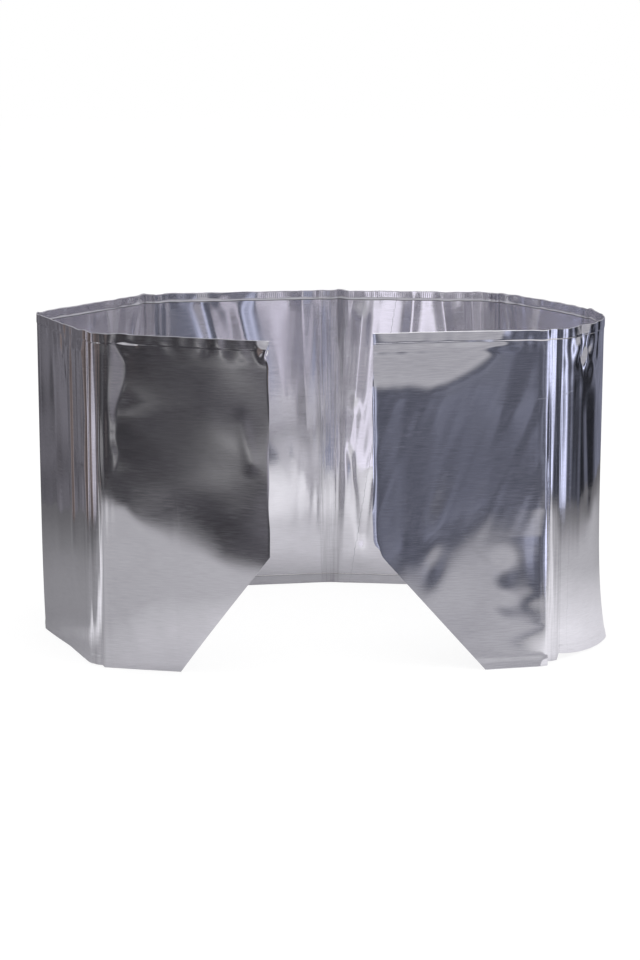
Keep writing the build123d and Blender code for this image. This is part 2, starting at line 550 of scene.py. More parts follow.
class Shell:
    """Closed shells of thin foil that are gathered into one mesh."""

    def __init__(self):
        self.vertices = []
        self.faces = []
        self.places = []
        self.beside_crease = []
        self.often_folded = []

    def add(self, distances, face_a, face_b):
        """Adds a shell between two faces, each a grid of outsets and heights for every distance."""
        place, normal = plan_at(distances)
        columns = len(distances)
        rows = face_a[0].shape[1]
        base = sum(len(v) for v in self.vertices)
        for outset, up in (face_a, face_b):
            out = standing_out(np.broadcast_to(distances[:, None], up.shape), up) + outset
            points = np.empty((columns, rows, 3))
            lean = lean_at(distances, up)
            pull = pull_at(distances, up)
            points[:, :, 0] = place[:, None, 0] + normal[:, None, 0] * out + normal[:, None, 1] * pull + lean[0]
            points[:, :, 1] = place[:, None, 1] + normal[:, None, 1] * out - normal[:, None, 0] * pull + lean[1]
            points[:, :, 2] = up + lift_at(distances, up)
            self.vertices.append(points.reshape(-1, 3))
            unrolled = np.stack([np.broadcast_to(distances[:, None], up.shape), up, outset], 2)
            self.places.append(unrolled.reshape(-1, 3))
            self.beside_crease.append(crease_place(distances[:, None], up).reshape(-1))
            self.often_folded.append(often_folded(np.broadcast_to(distances[:, None], up.shape)).reshape(-1))
        index = np.arange(columns * rows).reshape(columns, rows) + base
        other = index + columns * rows

        def quads(a, b, c, d):
            self.faces.append(np.stack([a.ravel(), b.ravel(), c.ravel(), d.ravel()], 1))

        quads(index[:-1, :-1], index[:-1, 1:], index[1:, 1:], index[1:, :-1])
        quads(other[:-1, :-1], other[1:, :-1], other[1:, 1:], other[:-1, 1:])
        quads(index[:-1, 0], index[1:, 0], other[1:, 0], other[:-1, 0])
        quads(index[1:, -1], index[:-1, -1], other[:-1, -1], other[1:, -1])
        quads(index[0, 1:], index[0, :-1], other[0, :-1], other[0, 1:])
        quads(index[-1, :-1], index[-1, 1:], other[-1, 1:], other[-1, :-1])

    def make(self, name, material):
        """Turns what was gathered into an object, with its place on the unrolled sheet as an attribute."""
        vertices = np.concatenate(self.vertices) * MM
        faces = np.concatenate(self.faces)
        mesh = bpy.data.meshes.new(name)
        mesh.from_pydata(vertices.tolist(), [], faces.tolist())
        place = mesh.attributes.new("sheet_place", "FLOAT_VECTOR", "POINT")
        place.data.foreach_set("vector", (np.concatenate(self.places) * MM).astype(np.float32).ravel())
        for label, values in (("beside_crease", self.beside_crease), ("often_folded", self.often_folded)):
            attribute = mesh.attributes.new(label, "FLOAT", "POINT")
            attribute.data.foreach_set("value", np.concatenate(values).astype(np.float32))
        mesh.shade_smooth()
        mesh.set_sharp_from_angle(angle=radians(50))
        mesh.materials.append(material)
        made = bpy.data.objects.new(name, mesh)
        bpy.context.scene.collection.objects.link(made)
        return made


# How far a crease's fine lines reach to each side of it, at the foot and at the rim
CREASE_REACH = {"back_centre": (2.5, 11.0)}
CREASE_REACH_ELSEWHERE = (2.0, 3.5)


def crease_place(distance, up):
    """Where a point lies beside its nearest double crease, as a share of how far the crease's lines reach."""
    nearest = np.full(np.broadcast(distance, up).shape, 1e9)
    for number, name in enumerate(n for n in ORDER if is_spine(n)):
        stretch = SHEET[name]
        foot, rim = CREASE_REACH.get(name.removesuffix("_spine"), CREASE_REACH_ELSEWHERE)
        reach = foot + (rim - foot) * np.clip(up / SCREEN_HEIGHT, 0, 1)
        aside = distance - stretch.offset - stretch.width / 2
        beyond = np.sign(aside) * np.maximum(np.abs(aside) - stretch.width / 2, 0)
        across = np.clip(beyond / reach, -3, 3) + (aside - beyond) / stretch.width
        nearest = np.where(np.abs(across) < np.abs(nearest), across, nearest)
    return nearest


def often_folded(distances):
    """1 near the back centre crease, which is folded most often, and less elsewhere."""
    spine = SHEET["back_centre_spine"]
    away = np.abs(distances - spine.offset - spine.width / 2)
    return 0.25 + 0.75 * smooth(24, 16, away)


def is_spine(name):
    return name.endswith("_spine")


def web_faces(distances, step):
    """The two faces of the standing sheet, from its lower edge to its upper one."""
    low = np.maximum(cut_height(distances), FOIL)[:, None]
    middle = SCREEN_HEIGHT / 2
    over_hem = SCREEN_HEIGHT - HEM_DEPTH + np.arange(-0.2, 0.9, 0.2)
    rows = steps(FOIL, SCREEN_HEIGHT - FOIL, step, over_hem)[None, :]
    up = np.where(rows > middle, rows, low + (rows - FOIL) / (middle - FOIL) * (middle - low))
    outset = np.full(up.shape, FOIL / 2)
    return (outset, up), (-outset, up)


def hem_faces(distances, top):
    """The two faces of a hem: over the edge, then back along the inner side."""
    turns = np.linspace(0, pi, 7)
    mean = (FOIL + HEM_GAP) / 2
    leg = np.linspace(0.8, HEM_DEPTH, 6)
    rows = []
    for side in (1, -1):
        reach = mean + side * FOIL / 2
        lie = mean + side * FOIL / 2
        outset = np.concatenate([reach * np.cos(turns) - mean, np.full(len(leg), -mean - lie)])
        height = np.concatenate([reach * np.sin(turns), -(leg - reach)])
        rows.append((outset, height))
    edge = SCREEN_HEIGHT - mean - FOIL / 2 if top else mean + FOIL / 2
    sign = 1 if top else -1
    made = []
    for outset, height in rows:
        up = np.repeat((edge + sign * height)[None, :], len(distances), 0)
        out = np.repeat(outset[None, :], len(distances), 0)
        made.append((out, up))
    # The sheet is inside the fold at the top and the order turns round at the bottom
    return made if top else made[::-1]


def add_web(shell, low, high):
    distances = steps(low, high, STEP_ALONG if high - low > 4 else 0.2)
    faces = web_faces(distances, STEP_UP)
    shell.add(distances, *faces)


def add_hem(shell, low, high, top):
    if not top:
        left, right = SHEET["front_left_flap"], SHEET["front_right_flap"]
        low = max(low, left.offset + CORNER_CUT_RUNS["front_left_flap"])
        high = min(high, right.offset + right.width - CORNER_CUT_RUNS["front_right_flap"])
    distances = steps(low, high, STEP_ALONG if high - low > 4 else 0.2)
    shell.add(distances, *hem_faces(distances, top))


# Materials


def node(tree, kind, inputs=None, **settings):
    """Adds a node with its settings and input values or links."""
    made = tree.nodes.new(kind)
    for key, value in settings.items():
        setattr(made, key, value)
    for key, value in (inputs or {}).items():
        if isinstance(value, bpy.types.NodeSocket):
            tree.links.new(value, made.inputs[key])
        else:
            made.inputs[key].default_value = value
    return made


def group(name, sockets):
    """Starts a shader node group with named inputs and outputs."""
    tree = bpy.data.node_groups.new(name, "ShaderNodeTree")
    for label, direction, kind, value in sockets:
        socket = tree.interface.new_socket(label, in_out=direction, socket_type=kind)
        if value is not None:
            socket.default_value = value
    return tree, tree.nodes.new("NodeGroupInput"), tree.nodes.new("NodeGroupOutput")


def rolling_grain():
    """Fine lines along the sheet from rolling: a height and a mask that vary across them."""
    tree, given, out = group(
        "Rolling grain",
        [
            ("Place", "INPUT", "NodeSocketVector", None),
            ("Lines per mm", "INPUT", "NodeSocketFloat", 2.2),
            ("Height", "OUTPUT", "NodeSocketFloat", None),
            ("Mask", "OUTPUT", "NodeSocketFloat", None),
        ],
    )
    scale = node(tree, "ShaderNodeMath", {0: given.outputs["Lines per mm"], 1: 1000.0}, operation="MULTIPLY")
    across = node(tree, "ShaderNodeCombineXYZ", {"X": 130.0, "Y": scale.outputs[0], "Z": 0.0})
    drawn = node(tree, "ShaderNodeVectorMath", {0: given.outputs["Place"], 1: across.outputs[0]}, operation="MULTIPLY")
    lines = node(tree, "ShaderNodeTexNoise", {"Vector": drawn.outputs[0], "Scale": 1.0, "Detail": 3.0, "Roughness": 0.6})
    tree.links.new(lines.outputs[0], out.inputs["Height"])
    mask = node(tree, "ShaderNodeMapRange", {"Value": lines.outputs[0], "From Min": 0.36, "From Max": 0.64})
    tree.links.new(mask.outputs[0], out.inputs["Mask"])
    return tree


def handling_haze():
    """Soft patches where the foil has been handled and is a little duller."""
    tree, given, out = group(
        "Handling haze",
        [
            ("Place", "INPUT", "NodeSocketVector", None),
            ("Patch size", "INPUT", "NodeSocketFloat", 0.03),
            ("Mask", "OUTPUT", "NodeSocketFloat", None),
        ],
    )
    scale = node(tree, "ShaderNodeMath", {0: 1.0, 1: given.outputs["Patch size"]}, operation="DIVIDE")
    clouds = node(
        tree,
        "ShaderNodeTexNoise",
        {"Vector": given.outputs["Place"], "Scale": scale.outputs[0], "Detail": 4.0, "Roughness": 0.55, "Distortion": 0.6},
    )
    mask = node(tree, "ShaderNodeMapRange", {"Value": clouds.outputs[0], "From Min": 0.42, "From Max": 0.68})
    tree.links.new(mask.outputs[0], out.inputs["Mask"])
    return tree


def hairline_scratches():
    """Sparse hairline scratches, mostly along the sheet."""
    tree, given, out = group(
        "Hairline scratches",
        [
            ("Place", "INPUT", "NodeSocketVector", None),
            ("Angle", "INPUT", "NodeSocketFloat", 0.1),
            ("Mask", "OUTPUT", "NodeSocketFloat", None),
        ],
    )
    turned = node(tree, "ShaderNodeVectorRotate", {"Vector": given.outputs["Place"], "Angle": given.outputs["Angle"]})
    drawn = node(tree, "ShaderNodeVectorMath", {0: turned.outputs[0], 1: (14.0, 420.0, 1.0)}, operation="MULTIPLY")
    marks = node(tree, "ShaderNodeTexNoise", {"Vector": drawn.outputs[0], "Scale": 1.0, "Detail": 1.0})
    mask = node(tree, "ShaderNodeMapRange", {"Value": marks.outputs[0], "From Min": 0.77, "From Max": 0.80})
    tree.links.new(mask.outputs[0], out.inputs["Mask"])
    return tree


def crease_lines():
    """Fine upright lines that repeated folding leaves, close together in a crease and fanning out beside it, with a
    mask of nearness to the crease. The material uses them for the fold bump, and darkens the lines near a crease as
    painted shade.
    """
    tree, given, out = group(
        "Crease lines",
        [
            ("Place", "INPUT", "NodeSocketVector", None),
            ("Beside crease", "INPUT", "NodeSocketFloat", 0.0),
            ("Lines", "OUTPUT", "NodeSocketFloat", None),
            ("Near crease", "OUTPUT", "NodeSocketFloat", None),
        ],
    )
    parts = node(tree, "ShaderNodeSeparateXYZ", {0: given.outputs["Place"]})
    across = node(tree, "ShaderNodeMath", {0: given.outputs["Beside crease"], 1: 6.0}, operation="MULTIPLY")
    upwards = node(tree, "ShaderNodeMath", {0: parts.outputs["Y"], 1: 22.0}, operation="MULTIPLY")
    which = node(tree, "ShaderNodeMath", {0: parts.outputs["X"], 1: 20.0}, operation="MULTIPLY")
    drawn = node(
        tree, "ShaderNodeCombineXYZ", {"X": across.outputs[0], "Y": upwards.outputs[0], "Z": which.outputs[0]}
    )
    marks = node(
        tree, "ShaderNodeTexNoise",
        {"Vector": drawn.outputs[0], "Scale": 1.0, "Detail": 3.0, "Roughness": 0.65, "Distortion": 0.4},
    )
    lines = node(tree, "ShaderNodeMapRange", {"Value": marks.outputs[0], "From Min": 0.35, "From Max": 0.65})
    square = node(
        tree, "ShaderNodeMath", {0: given.outputs["Beside crease"], 1: given.outputs["Beside crease"]},
        operation="MULTIPLY",
    )
    near_crease = node(
        tree, "ShaderNodeMapRange",
        {"Value": square.outputs[0], "From Min": 0.15, "From Max": 1.6, "To Min": 1.0, "To Max": 0.0},
        interpolation_type="SMOOTHSTEP",
    )
    tree.links.new(lines.outputs[0], out.inputs["Lines"])
    tree.links.new(near_crease.outputs[0], out.inputs["Near crease"])
    return tree


GRAIN = rolling_grain()
HAZE = handling_haze()
SCRATCHES = hairline_scratches()
LINES = crease_lines()


def scaled(tree, value, factor):
    return node(tree, "ShaderNodeMath", {0: value, 1: factor}, operation="MULTIPLY").outputs[0]


def added(tree, *values):
    total = values[0]
    for value in values[1:]:
        total = node(tree, "ShaderNodeMath", {0: total, 1: value}, operation="ADD").outputs[0]
    return total


def darkened(tree, colour, mask, least):
    """The colour times a tone that goes from least, where the mask is 0, to 1."""
    tone = node(tree, "ShaderNodeMapRange", {"Value": mask, "To Min": least, "To Max": 1.0})
    return node(
        tree, "ShaderNodeMix", {"Factor": 1.0, 6: colour, 7: tone.outputs[0]}, data_type="RGBA", blend_type="MULTIPLY"
    ).outputs[2]


def raw_edge(tree, place):
    """A mask of the cut edge at which a hem ends, 1 on it, where the material paints shade."""
    parts = node(tree, "ShaderNodeSeparateXYZ", {0: place})
    behind = node(
        tree, "ShaderNodeMapRange", {"Value": parts.outputs["Z"], "From Min": -0.13 * MM, "From Max": -0.17 * MM}
    ).outputs[0]
    middle = SCREEN_HEIGHT / 2 * MM
    from_middle = node(tree, "ShaderNodeMath", {0: parts.outputs["Y"], 1: middle}, operation="SUBTRACT").outputs[0]
    height = node(tree, "ShaderNodeMath", {0: from_middle}, operation="ABSOLUTE").outputs[0]
    edge = (SCREEN_HEIGHT / 2 - HEM_DEPTH) * MM
    at_end = node(
        tree, "ShaderNodeMapRange",
        {"Value": height, "From Min": edge + 0.10 * MM, "From Max": edge + 0.30 * MM, "To Min": 1.0, "To Max": 0.0},
    ).outputs[0]
    return node(tree, "ShaderNodeMath", {0: at_end, 1: behind}, operation="MULTIPLY").outputs[0]


def aluminium(name, colour, roughness, painted_crease_shade, angle, hemmed=False):
    """Bright rolled aluminium foil with grain, handling haze, scratches and fine lines at its creases. Near the
    creases the lines are darkened as painted shade, and where hemmed the hem's cut edge is darkened as painted shade.
    """
    made = bpy.data.materials.new(name)
    made.use_nodes = True
    tree = made.node_tree
    tree.nodes.clear()
    place = node(tree, "ShaderNodeAttribute", attribute_name="sheet_place").outputs["Vector"]
    beside_crease = node(tree, "ShaderNodeAttribute", attribute_name="beside_crease").outputs["Fac"]
    grain = node(tree, "ShaderNodeGroup", {"Place": place}, node_tree=GRAIN)
    haze = node(tree, "ShaderNodeGroup", {"Place": place}, node_tree=HAZE)
    scratches = node(tree, "ShaderNodeGroup", {"Place": place, "Angle": angle}, node_tree=SCRATCHES)
    creased = node(tree, "ShaderNodeGroup", {"Place": place, "Beside crease": beside_crease}, node_tree=LINES)

    dull = [0.95 * c for c in colour]
    tone = node(tree, "ShaderNodeMix", {"Factor": haze.outputs["Mask"], 6: (*colour, 1), 7: (*dull, 1)}, data_type="RGBA")
    ruled = darkened(tree, tone.outputs[2], grain.outputs["Mask"], 0.90)
    # Painted shade in the creases: near a crease the colour is darkened in the fine lines.
    plain = node(tree, "ShaderNodeMath", {0: 1.0, 1: creased.outputs["Near crease"]}, operation="SUBTRACT").outputs[0]
    line_mask = node(tree, "ShaderNodeMath", {0: creased.outputs["Lines"], 1: plain}, operation="MAXIMUM").outputs[0]
    lined = darkened(tree, ruled, line_mask, 1 - painted_crease_shade)
    # Painted shade: where hemmed, the colour along the hem's cut edge is darkened to a quarter.
    if hemmed:
        off_edge = node(tree, "ShaderNodeMath", {0: 1.0, 1: raw_edge(tree, place)}, operation="SUBTRACT").outputs[0]
        lined = darkened(tree, lined, off_edge, 0.25)
    rough = added(
        tree,
        scaled(tree, haze.outputs["Mask"], 0.04),
        scaled(tree, grain.outputs["Mask"], 0.03),
        scaled(tree, scratches.outputs["Mask"], 0.10),
        roughness,
    )
    height = added(tree, grain.outputs["Height"], scaled(tree, scratches.outputs["Mask"], -0.5))
    fine = node(tree, "ShaderNodeBump", {"Height": height, "Distance": 0.0028 * MM, "Strength": 1.0})
    often = node(tree, "ShaderNodeAttribute", attribute_name="often_folded").outputs["Fac"]
    folds = node(tree, "ShaderNodeMath", {0: creased.outputs["Lines"], 1: creased.outputs["Near crease"]}, operation="MULTIPLY")
    folds = node(tree, "ShaderNodeMath", {0: folds.outputs[0], 1: often}, operation="MULTIPLY")
    bump = node(
        tree, "ShaderNodeBump",
        {"Height": folds.outputs[0], "Distance": 0.03 * MM, "Strength": 1.0, "Normal": fine.outputs["Normal"]},
    )
    shader = node(
        tree,
        "ShaderNodeBsdfPrincipled",
        {
            "Base Color": lined,
            "Roughness": rough,
            "Metallic": 1.0,
            "Anisotropic": 0.5,
            "Normal": bump.outputs["Normal"],
        },
    )
    out = node(tree, "ShaderNodeOutputMaterial")
    tree.links.new(shader.outputs[0], out.inputs["Surface"])
    return made


FOIL_METAL = aluminium("Foil, bright rolled", (0.966, 0.961, 0.978), 0.075, 0.35, 0.12)
CREASE_METAL = aluminium("Foil, creased", (0.962, 0.957, 0.974), 0.06, 0.20, -0.3, hemmed=True)
HEM_METAL = aluminium("Foil, pressed hem", (0.958, 0.953, 0.970), 0.08, 0.30, 0.5, hemmed=True)


# The sheet's pieces


def make_stretch(name):
    """The web and both hems of one stretch, between its rounded creases."""
    stretch = SHEET[name]
    low = stretch.offset + (0 if name == ORDER[0] else CREASE_HALF)
    high = stretch.offset + stretch.width - (0 if name == ORDER[-1] else CREASE_HALF)
    web = Shell()
    add_web(web, low, high)
    piece = web.make(f"{name}_foil", CREASE_METAL if is_spine(name) else FOIL_METAL)
    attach(piece, name)
    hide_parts(name)
    for edge in ("top", "bottom"):
        hem = Shell()
        add_hem(hem, low, high, edge == "top")
        piece = hem.make(f"{name}_{edge}_hem_foil", HEM_METAL)
        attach(piece, name)
        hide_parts(f"{name}_{edge}_hem")


def make_crease(before, after):
    """The rounded crease between two stretches, with the hems that run across it."""
    corner = SHEET[after].offset
    low, high = corner - CREASE_HALF, corner + CREASE_HALF
    crease = Shell()
    add_web(crease, low, high)
    add_hem(crease, low, high, True)
    add_hem(crease, low, high, False)
    piece = crease.make(f"{before}_to_{after}_crease", CREASE_METAL)
    ends, _ = plan_at([low, high])
    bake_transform(piece)


for name in ORDER:
    make_stretch(name)
for before, after in zip(ORDER, ORDER[1:]):
    make_crease(before, after)


# The crimps: the jaws that pressed the upper hem left a row of upright ticks in it


def crimp_nodes():
    """Geometry nodes that set upright ticks at an even pitch along a rail, each facing off the foil."""
    tree = bpy.data.node_groups.new("Crimps along a hem", "GeometryNodeTree")
    sockets = {}
    for label, direction, kind, value in (
        ("Rail", "INPUT", "NodeSocketGeometry", None),
        ("Pitch", "INPUT", "NodeSocketFloat", 0.0011),
        ("Width", "INPUT", "NodeSocketFloat", 0.00035),
        ("Stand out", "INPUT", "NodeSocketFloat", 0.00006),
        ("Height", "INPUT", "NodeSocketFloat", 0.0042),
        ("Material", "INPUT", "NodeSocketMaterial", None),
        ("Crimps", "OUTPUT", "NodeSocketGeometry", None),
    ):
        socket = tree.interface.new_socket(label, in_out=direction, socket_type=kind)
        if value is not None:
            socket.default_value = value
        sockets[label] = socket.identifier
    given, out = tree.nodes.new("NodeGroupInput"), tree.nodes.new("NodeGroupOutput")
    rail = node(tree, "GeometryNodeMeshToCurve", {0: given.outputs["Rail"]})
    spaced = node(
        tree, "GeometryNodeResampleCurve", {"Curve": rail.outputs[0], "Length": given.outputs["Pitch"]}, mode="LENGTH"
    )
    tick = node(tree, "GeometryNodeMeshUVSphere", {"Segments": 8, "Rings": 6, "Radius": 0.5})
    facing = node(tree, "GeometryNodeInputNamedAttribute", {"Name": "facing"}, data_type="FLOAT_VECTOR")
    turned = node(
        tree, "FunctionNodeAlignRotationToVector", {"Vector": facing.outputs[0]}, axis="Y", pivot_axis="Z"
    )
    least = node(tree, "ShaderNodeCombineXYZ", {"X": 0.6, "Y": 0.3, "Z": 0.8})
    most = node(tree, "ShaderNodeCombineXYZ", {"X": 1.3, "Y": 1.2, "Z": 1.05})
    chance = node(
        tree, "FunctionNodeRandomValue", {0: least.outputs[0], 1: most.outputs[0], "Seed": 7}, data_type="FLOAT_VECTOR"
    )
    size = node(
        tree, "ShaderNodeCombineXYZ",
        {"X": given.outputs["Width"], "Y": given.outputs["Stand out"], "Z": given.outputs["Height"]},
    )
    scale = node(tree, "ShaderNodeVectorMath", {0: chance.outputs[0], 1: size.outputs[0]}, operation="MULTIPLY")
    ticks = node(
        tree, "GeometryNodeInstanceOnPoints",
        {"Points": spaced.outputs[0], "Instance": tick.outputs[0], "Rotation": turned.outputs[0],
         "Scale": scale.outputs[0]},
    )
    real = node(tree, "GeometryNodeRealizeInstances", {0: ticks.outputs[0]})
    dressed = node(tree, "GeometryNodeSetMaterial", {0: real.outputs[0], "Material": given.outputs["Material"]})
    tree.links.new(dressed.outputs[0], out.inputs["Crimps"])
    return tree, sockets


def bake(source, name):
    """The evaluated object as a plain mesh object. The source is taken away."""
    graph = bpy.context.evaluated_depsgraph_get()
    mesh = bpy.data.meshes.new_from_object(source.evaluated_get(graph))
    mesh.name = name
    bpy.data.objects.remove(source)
    made = bpy.data.objects.new(name, mesh)
    bpy.context.scene.collection.objects.link(made)
    return made


def make_crimps(name, nodes, sockets):
    """The ticks on one stretch's upper hem, on the side that faces the stove."""
    stretch = SHEET[name]
    low = stretch.offset + CREASE_HALF + 0.4
    high = stretch.offset + stretch.width - CREASE_HALF - 0.4
    distances = steps(low, high, STEP_ALONG)
    place, normal = plan_at(distances)
    up = np.full((len(distances), 1), SCREEN_HEIGHT - HEM_DEPTH / 2)
    hem_back = -(FOIL / 2 + HEM_GAP + FOIL)
    out = standing_out(distances[:, None], up) + hem_back
    lean = lean_at(distances, up)
    points = np.empty((len(distances), 3))
    points[:, 0] = place[:, 0] + normal[:, 0] * out[:, 0] + lean[0][:, 0]
    points[:, 1] = place[:, 1] + normal[:, 1] * out[:, 0] + lean[1][:, 0]
    points[:, 2] = (up + lift_at(distances, up))[:, 0]
    rail = bpy.data.meshes.new(f"{name}_rail")
    rail.from_pydata((points * MM).tolist(), [(i, i + 1) for i in range(len(points) - 1)], [])
    facing = rail.attributes.new("facing", "FLOAT_VECTOR", "POINT")
    facing.data.foreach_set("vector", np.concatenate([-normal, 0 * normal[:, :1]], 1).astype(np.float32).ravel())
    source = bpy.data.objects.new(f"{name}_rail", rail)
    bpy.context.scene.collection.objects.link(source)
    ticks = source.modifiers.new("Crimps", "NODES")
    ticks.node_group = nodes
    ticks[sockets["Material"]] = HEM_METAL
    bpy.context.view_layer.update()
    piece = bake(source, f"{name}_crimps")
    piece.data.shade_smooth()
    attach(piece, name)


CRIMPS, CRIMP_SOCKETS = crimp_nodes()
for name in ORDER:
    make_crimps(name, CRIMPS, CRIMP_SOCKETS)


# The stage: a pale floor for the camera, a pale table that the foil reflects, and a studio round it


def flat_mesh(name, outline, height, material):
    mesh = bpy.data.meshes.new(name)
    mesh.from_pydata([(x, y, height) for x, y in outline], [], [list(range(len(outline)))])
    mesh.materials.append(material)
    made = bpy.data.objects.new(name, mesh)
    bpy.context.scene.collection.objects.link(made)
    return made


def floor_material():
    """Almost white to the camera, and it keeps a soft shadow."""
    made = bpy.data.materials.new("Floor")
    made.use_nodes = True
    tree = made.node_tree
    tree.nodes.clear()
    light = node(tree, "ShaderNodeEmission", {"Color": (1, 1, 1, 1), "Strength": 1.04})
    paint = node(tree, "ShaderNodeBsdfDiffuse", {"Color": (0.9, 0.9, 0.9, 1)})
    mixed = node(tree, "ShaderNodeMixShader", {"Fac": 0.8, 1: paint.outputs[0], 2: light.outputs[0]})
    out = node(tree, "ShaderNodeOutputMaterial")
    tree.links.new(mixed.outputs[0], out.inputs["Surface"])
    return made


def painted_light_streak(tree, place):
    """A mask of the painted light streak that runs on the table from the middle towards each front corner."""
    aside = node(tree, "ShaderNodeMath", {0: place.outputs["X"]}, operation="ABSOLUTE").outputs[0]
    on_left = node(tree, "ShaderNodeMath", {0: place.outputs["X"], 1: 0.0}, operation="LESS_THAN").outputs[0]
    across = added(
        tree,
        scaled(tree, aside, TABLE_STREAK_NORMAL[0]),
        scaled(tree, place.outputs["Y"], TABLE_STREAK_NORMAL[1]),
        scaled(tree, on_left, -TABLE_STREAK_LEFT_SHIFT),
        TABLE_STREAK_OFFSET,
    )
    beside_it = node(tree, "ShaderNodeMath", {0: across}, operation="ABSOLUTE").outputs[0]
    near = node(
        tree, "ShaderNodeMapRange",
        {"Value": beside_it, "From Min": 0.010, "From Max": 0.035, "To Min": 1.0, "To Max": 0.0},
    ).outputs[0]
    outer = node(tree, "ShaderNodeMapRange", {"Value": aside, "From Min": 0.14, "From Max": 0.18}).outputs[0]
    return node(tree, "ShaderNodeMath", {0: near, 1: outer}, operation="MULTIPLY").outputs[0]


def table_material():
    """A pale table with a painted pool of light under the middle of the screen, painted shade towards its back and
    sides, a painted light streak towards each front corner, and a painted light band at the middle of its front edge.
    """
    made = bpy.data.materials.new("Table")
    made.use_nodes = True
    tree = made.node_tree
    shader = tree.nodes["Principled BSDF"]
    place = node(tree, "ShaderNodeTexCoord")
    # Painted light: a pool of light round TABLE_LIGHT, fading to the outer tone.
    centre = (*TABLE_LIGHT, 0)
    away = node(tree, "ShaderNodeVectorMath", {0: place.outputs["Object"], 1: centre}, operation="DISTANCE")
    outwards = node(
        tree, "ShaderNodeMapRange", {"Value": away.outputs["Value"], "From Min": 0.10, "From Max": 0.25}
    )
    pale = node(
        tree, "ShaderNodeMix", {"Factor": outwards.outputs[0], 6: TABLE_PAINTED_LIGHT_POOL, 7: TABLE_OUTSIDE}, data_type="RGBA"
    )
    side = node(tree, "ShaderNodeSeparateXYZ", {0: place.outputs["Object"]})
    # Painted shade: the table's colour darkens towards the back and the left.
    forward = added(tree, scaled(tree, side.outputs["X"], 0.6), scaled(tree, side.outputs["Y"], -0.8))
    forward = node(tree, "ShaderNodeMapRange", {"Value": forward, "From Min": -0.20, "From Max": 0.16})
    pale = node(
        tree, "ShaderNodeMix",
        {"Factor": 1.0, 6: pale.outputs[2], 7: darkened(tree, (1, 1, 1, 1), forward.outputs[0], TABLE_PAINTED_SHADE_AT_BACK)},
        data_type="RGBA", blend_type="MULTIPLY",
    )
    # Painted light: a bright streak towards each front corner.
    pale = node(
        tree, "ShaderNodeMix", {"Factor": painted_light_streak(tree, side), 6: pale.outputs[2], 7: TABLE_PAINTED_LIGHT_STREAK},
        data_type="RGBA",
    )
    # Towards its edge the table fades to painted shade at the sides and to a painted light band at the middle of the
    # front.
    lit = node(tree, "ShaderNodeAttribute", attribute_name="away_from_edge")
    soft = node(tree, "ShaderNodeMapRange", {"Value": lit.outputs["Fac"]}, interpolation_type="SMOOTHSTEP")
    aside = node(tree, "ShaderNodeMath", {0: side.outputs["X"]}, operation="ABSOLUTE")
    outer = node(tree, "ShaderNodeMapRange", {"Value": aside.outputs[0], "From Min": 0.12, "From Max": 0.17})
    edge = node(
        tree, "ShaderNodeMix", {"Factor": outer.outputs[0], 6: TABLE_PAINTED_LIGHT_FRONT_EDGE, 7: TABLE_PAINTED_SHADE_EDGE}, data_type="RGBA"
    )
    tone = node(
        tree, "ShaderNodeMix", {"Factor": soft.outputs[0], 6: edge.outputs[2], 7: pale.outputs[2]}, data_type="RGBA"
    )
    tree.links.new(tone.outputs[2], shader.inputs["Base Color"])
    shader.inputs["Roughness"].default_value = 0.8
    return made


def make_table():
    """The table, with an attribute that rises from 0 at its edge to 1 a little way in."""
    count = len(TABLE_OUTLINE)
    centre = Vector(TABLE_CENTRE)
    fades = [TABLE_FADE_FRONT if y < TABLE_FRONT else TABLE_FADE_SIDES for _, y in TABLE_OUTLINE]
    inner = [centre + (Vector(p) - centre) * (1 - fade) for p, fade in zip(TABLE_OUTLINE, fades)]
    outer = [centre + (Vector(p) - centre) * (1 + fade) for p, fade in zip(TABLE_OUTLINE, fades)]
    places = [(p.x, p.y, -0.0002) for p in inner + outer]
    faces = [list(range(count))]
    for i in range(count):
        after = (i + 1) % count
        faces.append([i, i + count, after + count, after])
    mesh = bpy.data.meshes.new("Table")
    mesh.from_pydata(places, [], faces)
    inwards = mesh.attributes.new("away_from_edge", "FLOAT", "POINT")
    inwards.data.foreach_set("value", [1.0] * count + [0.0] * count)
    mesh.materials.append(table_material())
    made = bpy.data.objects.new("Table", mesh)
    bpy.context.scene.collection.objects.link(made)
    return made


FLOOR_REACH = 6.0
floor = flat_mesh(
    "Floor", [(-FLOOR_REACH, -FLOOR_REACH), (FLOOR_REACH, -FLOOR_REACH), (FLOOR_REACH, FLOOR_REACH),
              (-FLOOR_REACH, FLOOR_REACH)], 0.0, floor_material()
)
floor.visible_glossy = False
floor.visible_diffuse = False
floor.visible_shadow = False

# The table is a sheet whose front edge curves in towards the screen. The foil reflects that edge.
TABLE_CENTRE = (0.0, -0.10)
TABLE_LIGHT = (0.07, -0.17)
# The table's painted pool of light, and the tone beyond it
TABLE_PAINTED_LIGHT_POOL = (0.72, 0.71, 0.75, 1)
TABLE_OUTSIDE = (0.365, 0.36, 0.385, 1)
# The painted light streak and where it runs
TABLE_PAINTED_LIGHT_STREAK = (0.72, 0.71, 0.75, 1)
TABLE_STREAK_NORMAL = (0.635, 0.773)
TABLE_STREAK_OFFSET = 0.0707
TABLE_STREAK_LEFT_SHIFT = 0.05
# How far the painted shade darkens the back of the table
TABLE_PAINTED_SHADE_AT_BACK = 0.42
